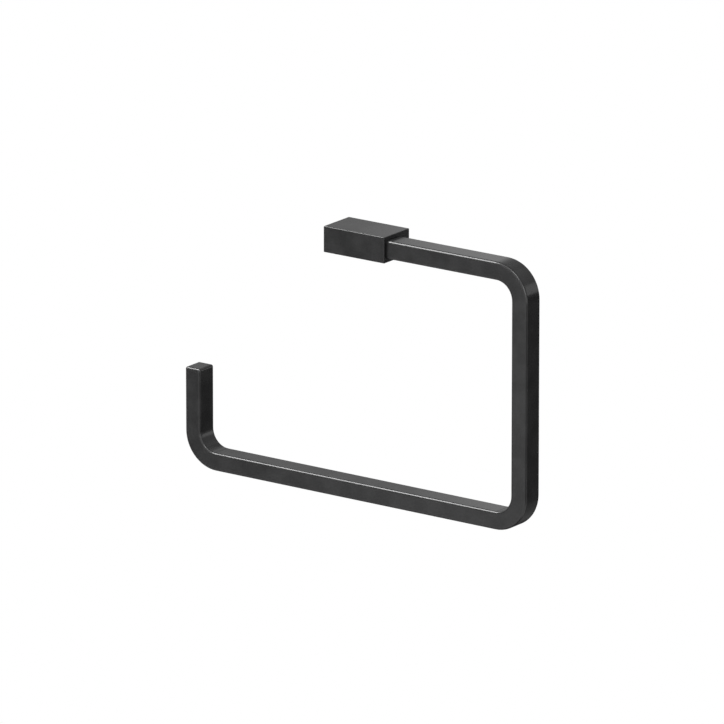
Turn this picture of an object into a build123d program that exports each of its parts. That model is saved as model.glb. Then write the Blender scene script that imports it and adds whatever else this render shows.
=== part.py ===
from build123d import *
import os

# Toilet roll holder: an open loop of bent bar on a small wall post with a hidden fixing.
# Frame, in millimetres: +X to the right seen from the front, +Y into the wall, +Z up.
# The origin lies on the wall's surface, behind the middle of the post.

# Bent bar
LOOP_WIDTH = 178.0
LOOP_HEIGHT = 117.0
LOOP_OFFSET = -1.05  # middle of the loop from the middle of the post, along X
TIP_HEIGHT = 44.0  # upturned end, from the underside of the bottom run
BAR_THICKNESS = 8.0  # in the plane of the loop
BAR_DEPTH = 10.0  # front to back
BAR_EDGE_RADIUS = 1.0
BEND_INNER_RADIUS = 8.0

# Post: a casting, open towards the wall
POST_WIDTH = 31.5
POST_DEPTH = 18.0
POST_RIM = 1.7  # stands out above and below the bar
POST_FRONT_STEP = 1.4  # front face of the post in front of the bar's
POST_EDGE_RADIUS = 0.3
POST_FRONT_WALL = 2.2
POST_END_WALL = 3.0
POST_SIDE_WALL = 2.0  # top and bottom
CAVITY_CORNER_RADIUS = 0.5

# Seat and screw of the bar's end
SEAT_DEPTH = 0.8
SEAT_CLEARANCE = 0.1
ARM_SCREW_DIAMETER = 4.0
ARM_SCREW_GRIP = 7.0  # thread inside the bar
ARM_SCREW_HEAD_HEIGHT = 2.2
ARM_SCREW_RIM_HEIGHT = 0.7
ARM_SCREW_CROWN_LAND = 0.65  # flat of the domed head around its socket
ARM_SCREW_HEAD_CLEARANCE = 0.1  # head to the rounding of the cavity's corners
ARM_SCREW_SOCKET_FLATS = 2.5
ARM_SCREW_SOCKET_DEPTH = 1.3
ARM_SCREW_HOLE_CLEARANCE = 0.2
BORE_RUNOUT = 1.5  # tapped hole past the screw's end
THREAD_CLEARANCE = 0.05

# Wall bracket: folded steel strip with a tongue for the set screw
BRACKET_THICKNESS = 1.5
BRACKET_CLEARANCE = 0.3  # to the walls of the cavity
BRACKET_CORNER_RADIUS = 0.8
BRACKET_FOLD_RADIUS = 1.0  # inside of the fold
WALL_SCREW_HOLE_DIAMETER = 4.2
WALL_SCREW_INSET = 3.45  # hole centre from the bracket's end
TONGUE_LAND = 1.4  # metal between a wall screw's hole and the relief slot
TONGUE_RELIEF = 1.0  # width of the slot on each side of the tongue
TONGUE_MARGIN = 3.0  # tongue past the set screw's axis

# Set screw
SET_SCREW_DIAMETER = 3.0
SET_SCREW_FROM_WALL = 5.0
SET_SCREW_SINK = 0.2  # below the surface of the post's underside
SET_SCREW_SOCKET_FLATS = 1.5
SET_SCREW_SOCKET_DEPTH = 1.3
SET_SCREW_POINT_RADIUS = 0.4
SET_SCREW_SEAT_STEP = 0.25  # thread radius less the radius of the tongue's hole

# Post and cavity
post_height = BAR_THICKNESS + 2 * POST_RIM
cavity_width = POST_WIDTH - 2 * POST_END_WALL
cavity_height = post_height - 2 * POST_SIDE_WALL
cavity_depth = POST_DEPTH - POST_FRONT_WALL
post_end_x = POST_WIDTH / 2
post_bottom_z = -post_height / 2

# Bar: the top run lies on the X axis, seen from the front
bar_y = -(POST_DEPTH - POST_FRONT_STEP - BAR_DEPTH / 2)
bar_start_x = post_end_x - SEAT_DEPTH
bar_right_x = LOOP_OFFSET + LOOP_WIDTH / 2 - BAR_THICKNESS / 2
bar_left_x = LOOP_OFFSET - LOOP_WIDTH / 2 + BAR_THICKNESS / 2
loop_bottom_z = BAR_THICKNESS / 2 - LOOP_HEIGHT
bar_bottom_z = loop_bottom_z + BAR_THICKNESS / 2
tip_z = loop_bottom_z + TIP_HEIGHT
bend_radius = BEND_INNER_RADIUS + BAR_THICKNESS / 2

# Screw of the bar's end
screw_seat_x = cavity_width / 2
screw_end_x = bar_start_x + ARM_SCREW_GRIP
screw_radius = ARM_SCREW_DIAMETER / 2 - THREAD_CLEARANCE
screw_head_radius = cavity_height / 2 - CAVITY_CORNER_RADIUS - ARM_SCREW_HEAD_CLEARANCE

# Bracket
bracket_width = cavity_width - 2 * BRACKET_CLEARANCE
bracket_height = cavity_height - 2 * BRACKET_CLEARANCE
bracket_bottom_z = -bracket_height / 2
wall_screw_spacing = bracket_width - 2 * WALL_SCREW_INSET
tongue_width = wall_screw_spacing - WALL_SCREW_HOLE_DIAMETER - 2 * (TONGUE_LAND + TONGUE_RELIEF)
tongue_reach = SET_SCREW_FROM_WALL + TONGUE_MARGIN
fold_top_z = bracket_bottom_z + BRACKET_THICKNESS + BRACKET_FOLD_RADIUS

# Set screw: its cone stops at the edge of the tongue's hole
set_screw_radius = SET_SCREW_DIAMETER / 2 - THREAD_CLEARANCE
tongue_hole_radius = set_screw_radius - SET_SCREW_SEAT_STEP
cone_start_z = bracket_bottom_z - SET_SCREW_SEAT_STEP - THREAD_CLEARANCE
set_screw_bottom_z = post_bottom_z + SET_SCREW_SINK
set_screw_tip_z = cone_start_z + set_screw_radius - SET_SCREW_POINT_RADIUS

FRONT = Plane.XZ  # sketched as seen from the front, extruded into the room
END = Plane.YZ  # sketched across the bar, extruded to the right
UNDERSIDE = Plane.XY.offset(post_bottom_z)


def make_post_cover():
    """Hollow block with a seat for the bar in its right end and a tapped hole below."""
    with BuildPart() as cover:
        with BuildSketch(FRONT):
            Rectangle(POST_WIDTH, post_height)
        extrude(amount=POST_DEPTH)
        wall_face = cover.faces().sort_by(Axis.Y)[-1]
        fillet(cover.edges() - wall_face.edges(), radius=POST_EDGE_RADIUS)

        with BuildSketch(FRONT):
            RectangleRounded(cavity_width, cavity_height, CAVITY_CORNER_RADIUS)
        extrude(amount=cavity_depth, mode=Mode.SUBTRACT)

        with BuildSketch(END.offset(post_end_x)):
            with Locations((bar_y, 0)):
                RectangleRounded(
                    BAR_DEPTH + 2 * SEAT_CLEARANCE,
                    BAR_THICKNESS + 2 * SEAT_CLEARANCE,
                    BAR_EDGE_RADIUS + SEAT_CLEARANCE,
                )
        extrude(amount=-SEAT_DEPTH, mode=Mode.SUBTRACT)

        with BuildSketch(END.offset(post_end_x)):
            with Locations((bar_y, 0)):
                Circle(ARM_SCREW_DIAMETER / 2 + ARM_SCREW_HOLE_CLEARANCE)
        extrude(amount=-POST_END_WALL, mode=Mode.SUBTRACT)

        with BuildSketch(UNDERSIDE):
            with Locations((0, -SET_SCREW_FROM_WALL)):
                Circle(SET_SCREW_DIAMETER / 2)
        extrude(amount=POST_SIDE_WALL, mode=Mode.SUBTRACT)
    return cover.part


def make_roll_arm():
    """Round-edged bar, bent three times in one plane and tapped at its end in the post."""
    corners = [
        (bar_start_x, bar_y, 0),
        (bar_right_x, bar_y, 0),
        (bar_right_x, bar_y, bar_bottom_z),
        (bar_left_x, bar_y, bar_bottom_z),
        (bar_left_x, bar_y, tip_z),
    ]
    with BuildPart() as arm:
        with BuildLine() as route:
            FilletPolyline(*corners, radius=bend_radius)
        with BuildSketch(END.offset(bar_start_x)):
            with Locations((bar_y, 0)):
                Rectangle(BAR_DEPTH, BAR_THICKNESS)
        sweep(path=route.line)
        seated_face = arm.faces().sort_by_distance(corners[0])[0]
        fillet(arm.edges() - seated_face.edges(), radius=BAR_EDGE_RADIUS)

        with BuildSketch(END.offset(bar_start_x)):
            with Locations((bar_y, 0)):
                Circle(ARM_SCREW_DIAMETER / 2)
        extrude(amount=ARM_SCREW_GRIP + BORE_RUNOUT, mode=Mode.SUBTRACT)
    return arm.part


def make_arm_screw():
    """Round-headed socket screw from the cavity through the end wall into the bar."""
    head_x = screw_seat_x - ARM_SCREW_HEAD_HEIGHT
    rim_x = screw_seat_x - ARM_SCREW_RIM_HEIGHT
    crown_radius = ARM_SCREW_SOCKET_FLATS / 2 + ARM_SCREW_CROWN_LAND
    with BuildPart() as screw:
        with BuildSketch(Plane.XY):
            with BuildLine():
                rim = (rim_x, bar_y + screw_head_radius)
                crown = (head_x, bar_y + crown_radius)
                Polyline(
                    crown,
                    (head_x, bar_y),
                    (screw_end_x, bar_y),
                    (screw_end_x, bar_y + screw_radius),
                    (screw_seat_x, bar_y + screw_radius),
                    (screw_seat_x, bar_y + screw_head_radius),
                    rim,
                )
                TangentArc(rim, crown, tangent=(-1, 0))
            make_face()
        revolve(axis=Axis((0, bar_y, 0), (1, 0, 0)))
        with BuildSketch(END.offset(head_x)):
            with Locations((bar_y, 0)):
                RegularPolygon(ARM_SCREW_SOCKET_FLATS / 2, 6, major_radius=False)
        extrude(amount=ARM_SCREW_SOCKET_DEPTH, mode=Mode.SUBTRACT)
    return screw.part


def make_wall_bracket():
    """Flat strip on the wall with two screw holes and a tongue folded out of its lower edge."""
    with BuildPart() as bracket:
        with BuildSketch(FRONT):
            RectangleRounded(bracket_width, bracket_height, BRACKET_CORNER_RADIUS)
            with Locations((0, bracket_bottom_z)):
                Rectangle(
                    tongue_width + 2 * TONGUE_RELIEF,
                    2 * (fold_top_z - bracket_bottom_z),
                    mode=Mode.SUBTRACT,
                )
            with GridLocations(wall_screw_spacing, 0, 2, 1):
                Circle(WALL_SCREW_HOLE_DIAMETER / 2, mode=Mode.SUBTRACT)
        extrude(amount=BRACKET_THICKNESS)

        tongue_top_z = bracket_bottom_z + BRACKET_THICKNESS
        with BuildSketch(END):
            with BuildLine():
                outside = FilletPolyline(
                    (0, -bracket_bottom_z),
                    (0, bracket_bottom_z),
                    (-tongue_reach, bracket_bottom_z),
                    radius=BRACKET_FOLD_RADIUS + BRACKET_THICKNESS,
                )
                inside = FilletPolyline(
                    (-BRACKET_THICKNESS, -bracket_bottom_z),
                    (-BRACKET_THICKNESS, tongue_top_z),
                    (-tongue_reach, tongue_top_z),
                    radius=BRACKET_FOLD_RADIUS,
                )
                Line(outside @ 0, inside @ 0)
                Line(outside @ 1, inside @ 1)
            make_face()
        extrude(amount=tongue_width / 2, both=True)

        with BuildSketch(Plane.XY.offset(bracket_bottom_z)):
            with Locations((0, -SET_SCREW_FROM_WALL)):
                Circle(tongue_hole_radius)
        extrude(amount=BRACKET_THICKNESS, mode=Mode.SUBTRACT)
    return bracket.part


def make_set_screw():
    """Headless socket screw with a blunt cone that seats in the tongue's hole."""
    with BuildPart() as screw:
        with BuildSketch(FRONT.offset(SET_SCREW_FROM_WALL)):
            with BuildLine():
                Polyline(
                    (0, set_screw_bottom_z),
                    (set_screw_radius, set_screw_bottom_z),
                    (set_screw_radius, cone_start_z),
                    (SET_SCREW_POINT_RADIUS, set_screw_tip_z),
                    (0, set_screw_tip_z),
                    close=True,
                )
            make_face()
        revolve(axis=Axis((0, -SET_SCREW_FROM_WALL, 0), (0, 0, 1)))
        with BuildSketch(Plane.XY.offset(set_screw_bottom_z)):
            with Locations((0, -SET_SCREW_FROM_WALL)):
                RegularPolygon(SET_SCREW_SOCKET_FLATS / 2, 6, major_radius=False)
        extrude(amount=SET_SCREW_SOCKET_DEPTH, mode=Mode.SUBTRACT)
    return screw.part


os.makedirs("parts", exist_ok=True)
export_step(make_post_cover(), "parts/post_cover.step")
export_step(make_roll_arm(), "parts/roll_arm.step")
export_step(make_arm_screw(), "parts/arm_screw.step")
export_step(make_wall_bracket(), "parts/wall_bracket.step")
export_step(make_set_screw(), "parts/set_screw.step")
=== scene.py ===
import math

import bmesh
import bpy
from mathutils import Matrix, Vector


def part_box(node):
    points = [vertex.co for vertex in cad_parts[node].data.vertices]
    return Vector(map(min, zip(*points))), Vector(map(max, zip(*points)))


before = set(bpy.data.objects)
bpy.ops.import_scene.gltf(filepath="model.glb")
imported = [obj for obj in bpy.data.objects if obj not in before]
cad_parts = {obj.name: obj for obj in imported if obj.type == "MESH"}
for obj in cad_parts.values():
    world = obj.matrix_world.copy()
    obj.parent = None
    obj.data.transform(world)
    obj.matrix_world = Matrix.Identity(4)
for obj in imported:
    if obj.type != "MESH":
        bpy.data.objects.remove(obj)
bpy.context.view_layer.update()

bl_info = {
    "name": "Bent Bar Toilet Roll Holder",
    "version": (1, 0, 0),
    "blender": (4, 5, 0),
    "location": "View3D > Sidebar > Roll Holder",
    "description": "Finishes a wall-mounted toilet roll holder and sets it on a white studio stage",
    "category": "Object",
}

MM = 0.001
WHITE = (1.0, 1.0, 1.0, 1.0)
UP = (0, 0, 1)
DOWN = (0, 0, -1)
RIGHT = (1, 0, 0)
TO_WALL = (0, 1, 0)
TO_ROOM = (0, -1, 0)

ARM_LOW, ARM_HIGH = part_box("roll_arm")
MIDDLE = (ARM_LOW + ARM_HIGH) / 2

LAMP_DISTANCE = 1.2
SENSOR_WIDTH = 36.0
FLOOR_SIDES = 96
# The floor's shadow fades out between these shares of its radius
FLOOR_FADE = (0.2, 0.45)
# Levels of a noise between which soft patches and the coat's grain turn from dark to light
PATCH_LEVELS = (0.3, 0.7)
GRAIN_LEVELS = (0.25, 0.75)

# Each piece of the fixing: node, material, setting of its colour, roughness, and the scales along
# X, Y and Z of its fine lines, which are long where the scale is small
FIXING = (
    ("wall_bracket", "zinc_plate", "plating", 0.38, (0.15, 1.0, 1.0)),
    ("arm_screw", "stainless_steel", "stainless", 0.3, (1.0, 0.3, 0.3)),
    ("set_screw", "black_oxide", "blackened", 0.42, (0.3, 0.3, 1.0)),
)

# Each softbox: name, azimuth and elevation in degrees, way of its height, width and height, watts,
# and whether it shows in reflections
LAMPS = (
    ("key_softbox", (-58, 48.6), (0, 0.906, 0.423), (0.36, 1.2), 11.5, True),
    ("top_softbox", (-6, 61), (0.93, -0.35, 0.1), (0.25, 0.95), 2.2, True),
    ("front_softbox", (-15, 8), UP, (0.5, 0.5), 4.8, False),
    ("back_softbox", (180, 8), UP, (0.5, 0.5), 4.8, False),
)

# Each card: name, tone, middle, way it faces, way of its height, width and height
CARDS = (
    # Tones of the flat faces
    ("right_card", 0.093, (1.368, 1.16, -1.206), TO_ROOM, (0.82, 0, 0.57), (2.6, 3.6)),
    ("low_card", 0.2, (0.3, 1.14, -1.1), TO_ROOM, UP, (1.0, 0.8)),
    ("back_card", 0.04, (-0.7, 1.18, -0.75), TO_ROOM, UP, (2.6, 1.7)),
    ("under_card", 0.1, (-0.35, 0.15, -1.0), UP, TO_WALL, (1.7, 1.3)),
    ("front_card", 0.22, (0.93, -0.69, -0.43), (-0.77, 0.56, 0.31), (0.25, -0.18, 0.95), (1.5, 0.45)),
    ("high_card", 0.33, (0, 2.95, 0.8455), DOWN, TO_WALL, (8.0, 6.1)),
    ("high_right_card", 0.52, (0.75, 1.35, 0.84), DOWN, TO_WALL, (1.2, 1.2)),
    ("left_back_card", 0.38, (-0.45, 0.457, -0.0955), RIGHT, (0, -0.507, 0.862), (0.659, 1.0)),
    ("far_back_card", 0.765, (-1.12, 1.56, 0.47), (0.58, -0.81, 0), UP, (1.28, 0.75)),
    ("left_front_card", 0.26, (-0.45, -0.478, -0.038), RIGHT, (0, -0.94, 0.34), (0.6, 1.2)),
    ("far_front_card", 0.72, (-1.0, -1.4, -0.5), (0.56, 0.78, 0.28), (-0.16, -0.22, 0.96), (1.6, 1.3)),
    # Bands of light across the bends
    ("upper_strip", 1.1, (0.247, 0.2, 0.0375), TO_ROOM, (-0.318, 0, 0.948), (0.08, 0.09)),
    ("lower_strip", 1.3, (0.088, 0.2, -0.096), TO_ROOM, UP, (0.08, 0.06)),
    ("lower_middle_strip", 0.5, (0.073, 0.2, -0.033), TO_ROOM, UP, (0.09, 0.066)),
    ("lower_end_strip", 0.85, (-0.124, 0.105, -0.034), TO_ROOM, UP, (0.04, 0.018)),
    # Highlights along the rounded edges
    ("key_strip", 18.0, (-0.617, -0.322, 0.808), (0.561, 0.278, -0.78), (0, 0.94, 0.337), (0.36, 0.32)),
    ("edge_card", 1.3, (0.8, -0.75, 0.45), (-0.68, 0.63, -0.37), (-0.27, 0.25, 0.93), (1.7, 1.5)),
    ("left_strip", 5.0, (-0.833, -0.208, 0.657), (0.76, 0.16, -0.63), (-0.62, 0.48, -0.62), (0.4, 0.4)),
    ("left_card", 1.0, (-0.4, 0.015, 0.075), RIGHT, UP, (0.2, 0.28)),
    (
        "edge_high_strip", 12.0, (0.389, -0.718, 0.84),
        (-0.33, 0.585, -0.74), (-0.83, 0.16, 0.54), (0.24, 0.45),
    ),
    (
        "upper_bend_strip", 6.0, (0.119, -0.046, 0.006),
        (-0.74, 0.62, -0.26), (-0.33, 0, 0.94), (0.014, 0.021),
    ),
    ("edge_low_strip", 1.8, (0.958, -0.736, -0.075), (-0.79, 0.61, 0.03), UP, (0.8, 0.32)),
)


class Wire:
    """One socket of a node tree. Sums, products and differences from a number add Math nodes."""

    def __init__(self, tree, socket=None):
        self.tree = tree
        self.socket = socket

    def feed(self, target, value):
        """Links a wire to a socket, or sets a plain value on it."""
        if isinstance(value, Wire):
            self.tree.links.new(value.socket, target)
        else:
            target.default_value = value

    def node(self, kind, settings=None, sockets=None, output=0):
        """Adds a node, with its settings first and then its sockets, and returns one of its outputs."""
        made = self.tree.nodes.new(kind)
        for name, value in (settings or {}).items():
            setattr(made, name, value)
        for name, value in (sockets or {}).items():
            self.feed(made.inputs[name], value)
        return Wire(self.tree, made.outputs[output] if made.outputs else None)

    def math(self, operation, first, second):
        return self.node("ShaderNodeMath", {"operation": operation}, {0: first, 1: second})

    def __add__(self, other):
        return self.math("ADD", self, other)

    __radd__ = __add__

    def __rsub__(self, other):
        return self.math("SUBTRACT", other, self)

    def __mul__(self, other):
        return self.math("MULTIPLY", self, other)

    __rmul__ = __mul__

    def at_most(self, limit):
        return self.math("MINIMUM", self, limit)

    def step_between(self, low, high):
        """0 below low, 1 above high and smooth between them."""
        return self.node(
            "ShaderNodeMapRange",
            {"interpolation_type": "SMOOTHSTEP"},
            {"Value": self, "From Min": low, "From Max": high},
        )

    def blend(self, first, second):
        """Mixes two colours by this wire."""
        return self.node(
            "ShaderNodeMix",
            {"data_type": "RGBA"},
            {"Factor": self, 6: first, 7: second},
            output=2,
        )


def new_material(name):
    """A material with an empty node tree, and the wire that its nodes start from."""
    material = bpy.data.materials.new(name)
    material.use_nodes = True
    material.node_tree.nodes.clear()
    return material, Wire(material.node_tree)


def finish_material(start, shader):
    start.node("ShaderNodeOutputMaterial", sockets={"Surface": shader})


def noise(start, place, size, detail):
    """Noise whose blobs are about this size, in metres."""
    return start.node(
        "ShaderNodeTexNoise",
        sockets={"Vector": place, "Scale": 1.0 / size, "Detail": detail, "Roughness": 0.5},
    )


def stretched(start, place, factors):
    """Coordinates that are scaled by a factor on each axis."""
    return start.node("ShaderNodeMapping", sockets={"Vector": place, "Scale": factors})


def set_material(node, material):
    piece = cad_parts[node]
    piece.data.materials.clear()
    piece.data.materials.append(material)


class CoatingSettings(bpy.types.PropertyGroup):
    """Matt black powder coat of the post and the bent bar."""

    dark: bpy.props.FloatVectorProperty(
        name="Dark",
        description="Colour of the coat where it is darkest",
        subtype="COLOR",
        size=4,
        default=(0.0155, 0.0155, 0.0158, 1.0),
    )
    light: bpy.props.FloatVectorProperty(
        name="Light",
        description="Colour of the coat where it is lightest",
        subtype="COLOR",
        size=4,
        default=(0.0345, 0.0345, 0.035, 1.0),
    )
    roughness: bpy.props.FloatProperty(
        name="Roughness",
        description="Middle roughness of the coat",
        subtype="FACTOR",
        default=0.2,
    )
    mottle_size: bpy.props.FloatProperty(
        name="Mottle size",
        description="Width of the coat's lighter and darker patches",
        unit="LENGTH",
        default=9.0 * MM,
    )
    grain_size: bpy.props.FloatProperty(
        name="Grain size",
        description="Width of the coat's fine bumps",
        unit="LENGTH",
        default=0.55 * MM,
    )
    grain_height: bpy.props.FloatProperty(
        name="Grain height",
        description="Height of the coat's fine bumps",
        unit="LENGTH",
        default=0.005 * MM,
    )


class FixingSettings(bpy.types.PropertyGroup):
    """Steel of the hidden fixing."""

    plating: bpy.props.FloatVectorProperty(
        name="Plating",
        description="Colour of the bracket's zinc plating",
        subtype="COLOR",
        size=4,
        default=(0.56, 0.57, 0.6, 1.0),
    )
    stainless: bpy.props.FloatVectorProperty(
        name="Stainless",
        description="Colour of the arm's screw",
        subtype="COLOR",
        size=4,
        default=(0.55, 0.54, 0.52, 1.0),
    )
    blackened: bpy.props.FloatVectorProperty(
        name="Blackened",
        description="Colour of the set screw's black oxide",
        subtype="COLOR",
        size=4,
        default=(0.05, 0.05, 0.054, 1.0),
    )


class StageSettings(bpy.types.PropertyGroup):
    """Camera, floor and the even light from all round."""

    azimuth: bpy.props.FloatProperty(
        name="Azimuth",
        description="Camera's angle round the holder, from straight in front towards its right",
        subtype="ANGLE",
        default=math.radians(35.72),
    )
    elevation: bpy.props.FloatProperty(
        name="Elevation",
        description="Camera's angle above the horizon",
        subtype="ANGLE",
        default=math.radians(16.22),
    )
    distance: bpy.props.FloatProperty(
        name="Distance",
        description="Camera to the front of the bent bar",
        unit="LENGTH",
        default=4.478,
    )
    lens: bpy.props.FloatProperty(
        name="Lens",
        description="Focal length in millimetres",
        default=526.6,
    )
    aim_right: bpy.props.FloatProperty(
        name="Aim right",
        description="The view's centre to the right of the loop's",
        unit="LENGTH",
        default=3.5 * MM,
    )
    aim_up: bpy.props.FloatProperty(
        name="Aim up",
        description="The view's centre above the loop's",
        unit="LENGTH",
        default=2.5 * MM,
    )
    floor_drop: bpy.props.FloatProperty(
        name="Floor drop",
        description="Floor below the bent bar",
        unit="LENGTH",
        default=1.6,
    )
    floor_radius: bpy.props.FloatProperty(
        name="Floor radius",
        description="Radius of the round floor",
        unit="LENGTH",
        default=6.0,
    )
    floor_colour: bpy.props.FloatVectorProperty(
        name="Floor colour",
        description="Colour of the floor",
        subtype="COLOR",
        size=4,
        default=(0.8, 0.8, 0.8, 1.0),
    )
    floor_shadow: bpy.props.FloatProperty(
        name="Floor shadow",
        description="How much of the floor's look comes from the lamps, so that it keeps a shadow",
        subtype="FACTOR",
        default=0.12,
    )
    ambient: bpy.props.FloatProperty(
        name="Ambient",
        description="Strength of the even light from all round",
        default=0.33,
    )


def coating_material(settings):
    """Matt powder coat: soft mottling and a fine grain."""
    mottle_share = 0.6
    grain_share = 0.4
    bump_share = 0.7
    speck_share = 0.3
    speck_size = 0.35 * settings.grain_size
    roughness_spread = 0.03
    material, start = new_material("black_coat")
    place = start.node("ShaderNodeTexCoord", output="Object")
    mottle = noise(start, place, settings.mottle_size, 3.0).step_between(*PATCH_LEVELS)
    grain = noise(start, place, settings.grain_size, 2.0)
    speck = noise(start, place, speck_size, 1.0)
    lightness = mottle_share * mottle + grain_share * grain.step_between(*GRAIN_LEVELS)
    bump = start.node(
        "ShaderNodeBump",
        sockets={
            "Height": bump_share * grain + speck_share * speck,
            "Distance": settings.grain_height,
            "Strength": 1.0,
        },
    )
    shader = start.node(
        "ShaderNodeBsdfPrincipled",
        sockets={
            "Base Color": lightness.blend(tuple(settings.dark), tuple(settings.light)),
            "Roughness": settings.roughness - roughness_spread / 2 + roughness_spread * mottle,
            "Normal": bump,
        },
    )
    finish_material(start, shader)
    return material


def steel_material(name, colour, roughness, scales):
    """Bare or plated steel with soft clouds and fine lines."""
    line_size = 0.4 * MM
    line_height = 0.01 * MM
    cloud_size = 2.5 * MM
    shade_factor = 0.8
    roughness_spread = 0.16
    material, start = new_material(name)
    place = start.node("ShaderNodeTexCoord", output="Object")
    lines = noise(start, stretched(start, place, scales), line_size, 3.0)
    cloud = noise(start, place, cloud_size, 2.0).step_between(*PATCH_LEVELS)
    shade = tuple(shade_factor * c for c in colour[:3]) + (1.0,)
    bump = start.node(
        "ShaderNodeBump",
        sockets={"Height": lines, "Distance": line_height, "Strength": 1.0},
    )
    shader = start.node(
        "ShaderNodeBsdfPrincipled",
        sockets={
            "Base Color": (0.5 * cloud + 0.5 * lines).blend(shade, colour),
            "Metallic": 1.0,
            "Roughness": roughness - roughness_spread / 2 + roughness_spread * cloud,
            "Normal": bump,
        },
    )
    finish_material(start, shader)
    return material


def seen_directly(start):
    """1 for rays that show a surface itself, by camera, gloss or glass, and 0 for other rays."""
    path = start.tree.nodes.new("ShaderNodeLightPath")
    camera, gloss, glass = (
        Wire(start.tree, path.outputs[name])
        for name in ("Is Camera Ray", "Is Glossy Ray", "Is Transmission Ray")
    )
    return (camera + gloss + glass).at_most(1.0)


def around(azimuth, elevation, distance):
    """A point round the loop's middle, by the camera's angles, in degrees."""
    turn, rise = math.radians(azimuth), math.radians(elevation)
    level = distance * math.cos(rise)
    return MIDDLE + Vector((level * math.sin(turn), -level * math.cos(turn), distance * math.sin(rise)))


def facing(place, target, along):
    """The turn and place of a panel that faces a point, with its height along a direction."""
    back = (place - target).normalized()
    side = along.cross(back).normalized()
    turn = Matrix((side, back.cross(side), back)).transposed()
    return Matrix.Translation(place) @ turn.to_4x4()


def add_softbox(name, place, target, along, width, height, watts, shown):
    """A rectangular softbox that faces a point."""
    data = bpy.data.lights.new(name, "AREA")
    data.shape = "RECTANGLE"
    data.size = width
    data.size_y = height
    data.energy = watts
    lamp = bpy.data.objects.new(name, data)
    lamp.matrix_world = facing(place, target, along)
    lamp.visible_camera = False
    lamp.visible_glossy = shown
    bpy.context.scene.collection.objects.link(lamp)


def card_material(name, level):
    """An even tone, the same from every side."""
    material, start = new_material(name)
    glow = start.node("ShaderNodeEmission", sockets={"Color": WHITE, "Strength": level})
    finish_material(start, glow)
    return material


def add_card(name, place, target, along, width, height, material):
    """A card or a strip of one tone that is seen only in the holder's reflections."""
    mesh = bmesh.new()
    bmesh.ops.create_grid(mesh, x_segments=1, y_segments=1, size=0.5)
    bmesh.ops.scale(mesh, verts=mesh.verts, vec=(width, height, 1.0))
    bmesh.ops.transform(mesh, verts=mesh.verts, matrix=facing(place, target, along))
    data = bpy.data.meshes.new(name)
    mesh.to_mesh(data)
    mesh.free()
    data.materials.append(material)
    card = bpy.data.objects.new(name, data)
    card.visible_camera = False
    card.visible_diffuse = False
    card.visible_shadow = False
    bpy.context.scene.collection.objects.link(card)


class HOLDER_OT_coat(bpy.types.Operator):
    """Coats the post and the bent bar matt black"""

    bl_idname = "holder.coat"
    bl_label = "Coat Post and Bar"

    def execute(self, context):
        coat = coating_material(context.scene.holder_coating)
        set_material("post_cover", coat)
        set_material("roll_arm", coat)
        return {"FINISHED"}


class HOLDER_OT_fixing(bpy.types.Operator):
    """Gives the bracket and the two screws their steel finishes"""

    bl_idname = "holder.fixing"
    bl_label = "Finish Hidden Fixing"

    def execute(self, context):
        settings = context.scene.holder_fixing
        for node, name, setting, roughness, scales in FIXING:
            colour = tuple(getattr(settings, setting))
            set_material(node, steel_material(name, colour, roughness, scales))
        return {"FINISHED"}


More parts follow.
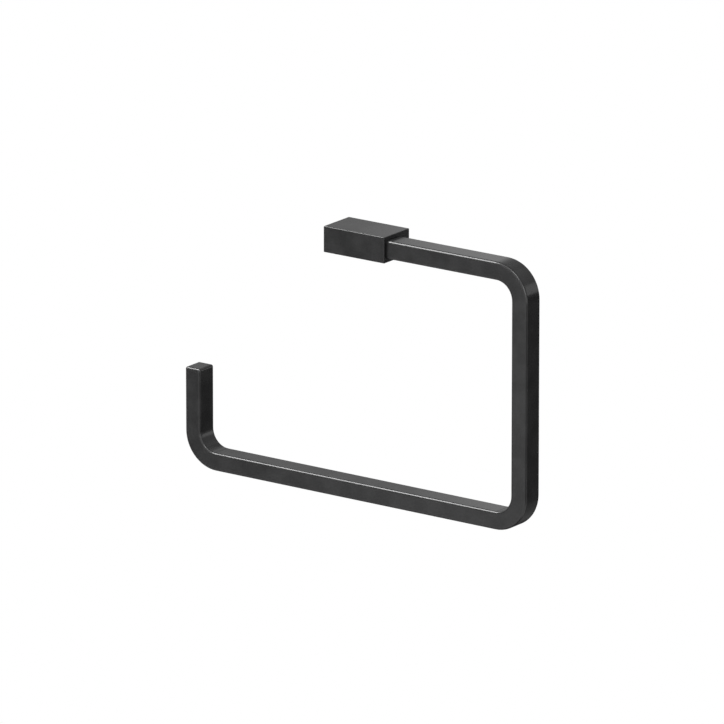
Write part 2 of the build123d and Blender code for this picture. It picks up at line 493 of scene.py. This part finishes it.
class HOLDER_OT_stage(bpy.types.Operator):
    """Makes the floor, the white surroundings, the lamps, the cards and the camera"""

    bl_idname = "holder.stage"
    bl_label = "Set Stage"

    def execute(self, context):
        settings = context.scene.holder_stage
        scene = context.scene
        scene.view_settings.view_transform = "Standard"
        self.add_floor(settings)
        self.add_world(scene, settings)
        self.add_lamps()
        self.add_cards()
        self.add_camera(scene, settings)
        return {"FINISHED"}

    def add_floor(self, settings):
        radius = settings.floor_radius
        mesh = bmesh.new()
        bmesh.ops.create_circle(mesh, cap_ends=True, segments=FLOOR_SIDES, radius=radius)
        bmesh.ops.translate(mesh, verts=mesh.verts, vec=(0, 0, ARM_LOW.z - settings.floor_drop))
        data = bpy.data.meshes.new("floor")
        mesh.to_mesh(data)
        mesh.free()
        floor = bpy.data.objects.new("floor", data)
        bpy.context.scene.collection.objects.link(floor)
        material, start = new_material("pale_floor")
        diffuse = start.node("ShaderNodeBsdfDiffuse", sockets={"Color": tuple(settings.floor_colour)})
        glow = start.node("ShaderNodeEmission", sockets={"Color": WHITE, "Strength": 1.0})
        place = start.node("ShaderNodeTexCoord", output="Object")
        reach = start.node("ShaderNodeVectorMath", {"operation": "LENGTH"}, {0: place}, output="Value")
        rim = reach.step_between(*(share * radius for share in FLOOR_FADE))
        glow_share = (1.0 - settings.floor_shadow * (1.0 - rim)) * seen_directly(start)
        lit = start.node("ShaderNodeMixShader", sockets={0: glow_share, 1: diffuse, 2: glow})
        under = start.node("ShaderNodeNewGeometry", output="Backfacing")
        clear = start.node("ShaderNodeBsdfTransparent")
        finish_material(start, start.node("ShaderNodeMixShader", sockets={0: under, 1: lit, 2: clear}))
        data.materials.append(material)

    def add_world(self, scene, settings):
        world = bpy.data.worlds.new("white_surroundings")
        world.use_nodes = True
        world.node_tree.nodes.clear()
        start = Wire(world.node_tree)
        strength = settings.ambient + (1.0 - settings.ambient) * seen_directly(start)
        glow = start.node("ShaderNodeBackground", sockets={"Color": WHITE, "Strength": strength})
        start.node("ShaderNodeOutputWorld", sockets={"Surface": glow})
        scene.world = world

    def add_lamps(self):
        for name, angles, along, size, watts, shown in LAMPS:
            place = around(*angles, LAMP_DISTANCE)
            add_softbox(name, place, MIDDLE, Vector(along), *size, watts, shown)

    def add_cards(self):
        for name, tone, middle, faces, along, size in CARDS:
            place = Vector(middle)
            add_card(name, place, place + Vector(faces), Vector(along), *size, card_material(name, tone))

    def add_camera(self, scene, settings):
        azimuth, elevation = settings.azimuth, settings.elevation
        back = Vector(
            (
                math.sin(azimuth) * math.cos(elevation),
                -math.cos(azimuth) * math.cos(elevation),
                math.sin(elevation),
            )
        )
        right = Vector((math.cos(azimuth), math.sin(azimuth), 0))
        up = back.cross(right)
        front = Vector((MIDDLE.x, ARM_LOW.y, MIDDLE.z))
        aim = front + right * settings.aim_right + up * settings.aim_up
        turn = back.to_track_quat("Z", "Y").to_matrix().to_4x4()
        data = bpy.data.cameras.new("camera")
        data.sensor_width = SENSOR_WIDTH
        data.lens = settings.lens
        camera = bpy.data.objects.new("camera", data)
        camera.matrix_world = Matrix.Translation(aim + back * settings.distance) @ turn
        scene.collection.objects.link(camera)
        scene.camera = camera


class HOLDER_PT_panel(bpy.types.Panel):
    """Settings and steps of the toilet roll holder"""

    bl_idname = "HOLDER_PT_panel"
    bl_label = "Roll Holder"
    bl_space_type = "VIEW_3D"
    bl_region_type = "UI"
    bl_category = "Roll Holder"

    def draw(self, context):
        for operator, settings in STEPS:
            box = self.layout.box()
            group = getattr(context.scene, settings)
            for name in group.__annotations__:
                box.prop(group, name)
            box.operator(operator)


STEPS = (
    ("holder.coat", "holder_coating"),
    ("holder.fixing", "holder_fixing"),
    ("holder.stage", "holder_stage"),
)
GROUPS = {
    "holder_coating": CoatingSettings,
    "holder_fixing": FixingSettings,
    "holder_stage": StageSettings,
}
CLASSES = (*GROUPS.values(), HOLDER_OT_coat, HOLDER_OT_fixing, HOLDER_OT_stage, HOLDER_PT_panel)


def register():
    for cls in CLASSES:
        bpy.utils.register_class(cls)
    for name, group in GROUPS.items():
        setattr(bpy.types.Scene, name, bpy.props.PointerProperty(type=group))


def unregister():
    for name in GROUPS:
        delattr(bpy.types.Scene, name)
    for cls in reversed(CLASSES):
        bpy.utils.unregister_class(cls)


def main():
    register()
    bpy.ops.holder.coat()
    bpy.ops.holder.fixing()
    bpy.ops.holder.stage()


if __name__ == "__main__":
    main()
